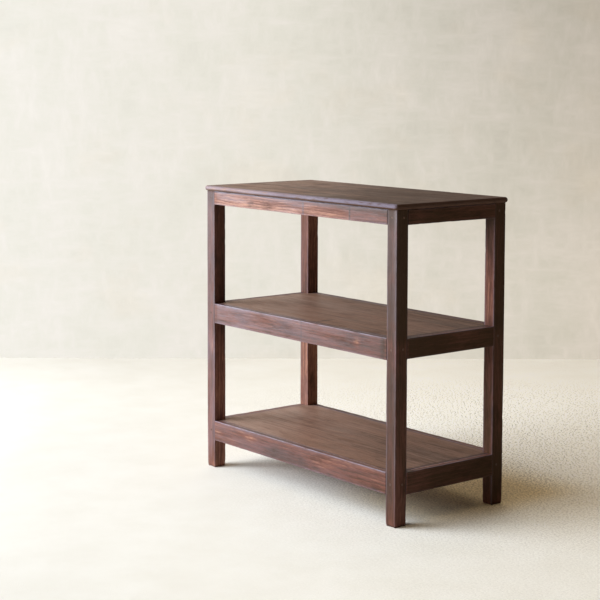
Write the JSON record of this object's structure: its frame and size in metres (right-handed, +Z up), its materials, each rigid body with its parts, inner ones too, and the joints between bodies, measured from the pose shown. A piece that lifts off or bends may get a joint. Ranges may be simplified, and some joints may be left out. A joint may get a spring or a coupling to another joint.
{
  "type": "display rack",
  "caption": "Open three-tier wooden display rack: square tapered posts, pegged rails, flush planked shelves and a bull-nosed top.",
  "frame": {"origin": "on the floor, under the middle of the rack", "axes": "+X along the length, +Y to the back, +Z up; the front faces -Y"},
  "size_m": [0.912, 0.439, 0.9],
  "materials": {
    "frame_wood": "worn, thin grey-pink wash over dark brown hardwood, satin",
    "plank_wood": "worn grey-brown wash, satin",
    "inner_wood": "bare sawn wood, matt",
    "peg_wood": "dark end grain"
  },
  "bodies": {
    "root": {"post_front_left": "frame_wood", "post_front_right": "frame_wood", "post_back_left": "frame_wood", "post_back_right": "frame_wood", "top_rail_front": "frame_wood", "top_rail_back": "frame_wood", "top_rail_left": "frame_wood", "top_rail_right": "frame_wood", "top_plank_1": "plank_wood", "top_plank_2": "plank_wood", "top_plank_3": "plank_wood", "top_cross_bearer": "inner_wood", "middle_rail_front": "frame_wood", "middle_rail_back": "frame_wood", "middle_rail_left": "frame_wood", "middle_rail_right": "frame_wood", "middle_plank_1": "plank_wood", "middle_plank_2": "plank_wood", "middle_plank_3": "plank_wood", "middle_cross_bearer": "inner_wood", "bottom_rail_front": "frame_wood", "bottom_rail_back": "frame_wood", "bottom_rail_left": "frame_wood", "bottom_rail_right": "frame_wood", "bottom_plank_1": "plank_wood", "bottom_plank_2": "plank_wood", "bottom_plank_3": "plank_wood", "bottom_cross_bearer": "inner_wood", "glue_block_front_left": "inner_wood", "glue_block_front_right": "inner_wood", "glue_block_back_left": "inner_wood", "glue_block_back_right": "inner_wood", "top_long_rail_peg_front_left": "peg_wood", "top_long_rail_peg_front_right": "peg_wood", "top_long_rail_peg_back_left": "peg_wood", "top_long_rail_peg_back_right": "peg_wood", "top_side_rail_peg_front_left": "peg_wood", "top_side_rail_peg_front_right": "peg_wood", "top_side_rail_peg_back_left": "peg_wood", "top_side_rail_peg_back_right": "peg_wood", "middle_long_rail_peg_front_left": "peg_wood", "middle_long_rail_peg_front_right": "peg_wood", "middle_long_rail_peg_back_left": "peg_wood", "middle_long_rail_peg_back_right": "peg_wood", "middle_side_rail_peg_front_left": "peg_wood", "middle_side_rail_peg_front_right": "peg_wood", "middle_side_rail_peg_back_left": "peg_wood", "middle_side_rail_peg_back_right": "peg_wood", "bottom_long_rail_peg_front_left": "peg_wood", "bottom_long_rail_peg_front_right": "peg_wood", "bottom_long_rail_peg_back_left": "peg_wood", "bottom_long_rail_peg_back_right": "peg_wood", "bottom_side_rail_peg_front_left": "peg_wood", "bottom_side_rail_peg_front_right": "peg_wood", "bottom_side_rail_peg_back_left": "peg_wood", "bottom_side_rail_peg_back_right": "peg_wood"}
  },
  "joints": []
}
